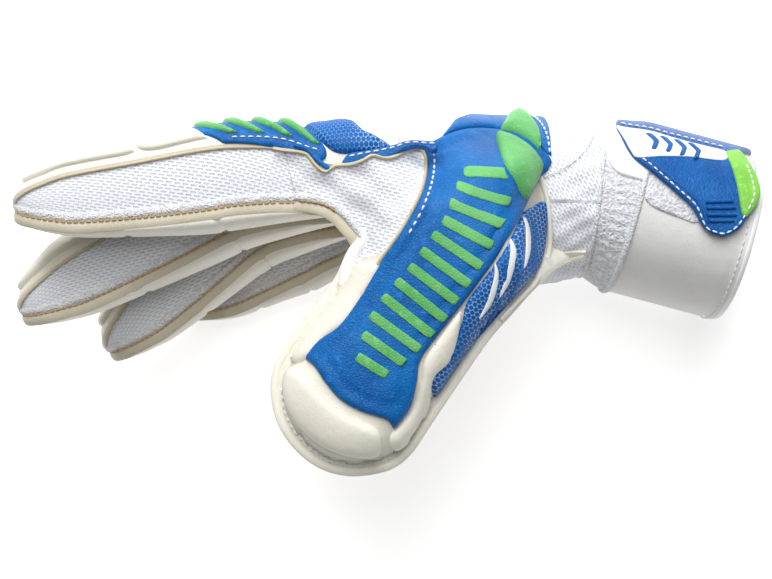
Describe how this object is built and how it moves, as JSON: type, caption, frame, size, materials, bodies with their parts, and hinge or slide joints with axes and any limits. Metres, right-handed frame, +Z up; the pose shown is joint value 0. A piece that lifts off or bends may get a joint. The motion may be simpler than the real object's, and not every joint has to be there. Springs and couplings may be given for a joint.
{
  "type": "goalkeeper glove",
  "caption": "Right-hand goalkeeper glove, hollow and worn-shaped, with padded back and palm panels, mesh gussets, an elastic wrist, a cuff and a peel-open closing strap.",
  "frame": {"origin": "centre of the footprint of the glove lying on its little-finger side, at the surface it lies on", "axes": "+X from the fingertips towards the cuff mouth, +Y from the palm side towards the back of the hand, +Z up, from the little-finger side towards the thumb side"},
  "size_m": [0.2704, 0.1311, 0.116],
  "materials": {
    "cream_latex": "foamed latex, soft and matt, ivory",
    "white_mesh": "cool white perforated mesh",
    "blue_latex": "embossed blue latex skin, satin, fine creases",
    "green_latex": "embossed green latex skin, satin",
    "white_latex": "smooth white latex, satin",
    "white_terry": "white terry elastic and loop pile",
    "blue_rubber": "moulded blue strap with white and green printed areas",
    "white_hook": "white hook tape"
  },
  "bodies": {
    "hand": {"hand_back_panel": "blue_latex", "hand_palm_latex": "cream_latex", "little_side_gusset": "white_mesh", "thumb_web_gusset": "white_mesh", "thumb_root_panel": "blue_latex", "thumb_side_panel": "blue_latex", "green_pad_lower": "green_latex", "green_pad_upper": "green_latex", "wrist_mesh_sleeve": "white_mesh", "wrist_elastic_band": "white_terry"},
    "index_base": {"index_base_back_panel": "cream_latex", "index_base_palm_latex": "cream_latex", "index_base_gusset_upper": "white_mesh", "index_base_gusset_lower": "white_mesh", "index_ribbed_pad": "blue_latex"},
    "index_tip": {"index_tip_back_panel": "cream_latex", "index_tip_palm_latex": "cream_latex", "index_tip_gusset_upper": "white_mesh", "index_tip_gusset_lower": "white_mesh"},
    "middle_base": {"middle_base_back_panel": "cream_latex", "middle_base_palm_latex": "cream_latex", "middle_base_gusset_upper": "white_mesh", "middle_base_gusset_lower": "white_mesh"},
    "middle_tip": {"middle_tip_back_panel": "cream_latex", "middle_tip_palm_latex": "cream_latex", "middle_tip_gusset_upper": "white_mesh", "middle_tip_gusset_lower": "white_mesh"},
    "ring_base": {"ring_base_back_panel": "cream_latex", "ring_base_palm_latex": "cream_latex", "ring_base_gusset_upper": "white_mesh", "ring_base_gusset_lower": "white_mesh"},
    "ring_tip": {"ring_tip_back_panel": "cream_latex", "ring_tip_palm_latex": "cream_latex", "ring_tip_gusset_upper": "white_mesh", "ring_tip_gusset_lower": "white_mesh"},
    "little_base": {"little_base_back_panel": "cream_latex", "little_base_palm_latex": "cream_latex", "little_base_gusset_upper": "white_mesh", "little_base_gusset_lower": "white_mesh"},
    "little_tip": {"little_tip_back_panel": "cream_latex", "little_tip_palm_latex": "cream_latex", "little_tip_gusset_upper": "white_mesh", "little_tip_gusset_lower": "white_mesh"},
    "thumb_base": {"thumb_base_back_panel": "cream_latex", "thumb_base_palm_latex": "cream_latex", "thumb_base_gusset_upper": "white_mesh", "thumb_base_gusset_lower": "white_mesh", "thumb_blue_panel": "blue_latex"},
    "thumb_tip": {"thumb_tip_back_panel": "cream_latex", "thumb_tip_palm_latex": "cream_latex", "thumb_tip_gusset_upper": "white_mesh", "thumb_tip_gusset_lower": "white_mesh"},
    "cuff": {"cuff_sleeve": "white_latex", "loop_field": "white_terry", "strap_anchor": "white_latex"},
    "strap": {"strap_flap": "blue_rubber", "strap_hook_patch": "white_hook", "strap_grip": "blue_rubber"}
  },
  "joints": [
    {"name": "index_knuckle", "type": "hinge", "parent": "hand", "child": "index_base", "pos_m": [-0.01997, 0.03931, 0.088], "axis": [0, 0, 1], "range_deg": [-10, 35]},
    {"name": "index_middle_joint", "type": "hinge", "parent": "index_base", "child": "index_tip", "pos_m": [-0.0612, 0.03449, 0.088], "axis": [0, 0, 1], "range_deg": [-10, 30]},
    {"name": "middle_knuckle", "type": "hinge", "parent": "hand", "child": "middle_base", "pos_m": [-0.01656, 0.03837, 0.061], "axis": [0, 0, 1], "range_deg": [-10, 25]},
    {"name": "middle_middle_joint", "type": "hinge", "parent": "middle_base", "child": "middle_tip", "pos_m": [-0.05931, 0.0286, 0.061], "axis": [0, 0, 1], "range_deg": [-10, 30]},
    {"name": "ring_knuckle", "type": "hinge", "parent": "hand", "child": "ring_base", "pos_m": [-0.01354, 0.0354, 0.0355], "axis": [0, 0, 1], "range_deg": [-10, 25]},
    {"name": "ring_middle_joint", "type": "hinge", "parent": "ring_base", "child": "ring_tip", "pos_m": [-0.05278, 0.02375, 0.0355], "axis": [0, 0, 1], "range_deg": [-10, 25]},
    {"name": "little_knuckle", "type": "hinge", "parent": "hand", "child": "little_base", "pos_m": [-0.00753, 0.02945, 0.0115], "axis": [0, 0, 1], "range_deg": [-10, 30]},
    {"name": "little_middle_joint", "type": "hinge", "parent": "little_base", "child": "little_tip", "pos_m": [-0.04011, 0.01476, 0.0115], "axis": [0, 0, 1], "range_deg": [-10, 30]},
    {"name": "thumb_knuckle", "type": "hinge", "parent": "hand", "child": "thumb_base", "pos_m": [0.0157, 0.0063, 0.098], "axis": [0.8201, -0.5722, 0], "range_deg": [-10, 20]},
    {"name": "thumb_joint", "type": "hinge", "parent": "thumb_base", "child": "thumb_tip", "pos_m": [-0.0083, -0.0281, 0.098], "axis": [0.8176, -0.5758, 0], "range_deg": [-10, 20]},
    {"name": "wrist_bend", "type": "hinge", "parent": "hand", "child": "cuff", "pos_m": [0.0802, 0.0313, 0.04], "axis": [0, 0, 1], "range_deg": [-12, 20], "deforming": ["wrist_elastic_band"]},
    {"name": "strap_peel", "type": "hinge", "parent": "cuff", "child": "strap", "pos_m": [0.11536, 0.0582, 0.03295], "axis": [-0.9659, 0.2588, 0], "range_deg": [0, 100]}
  ]
}
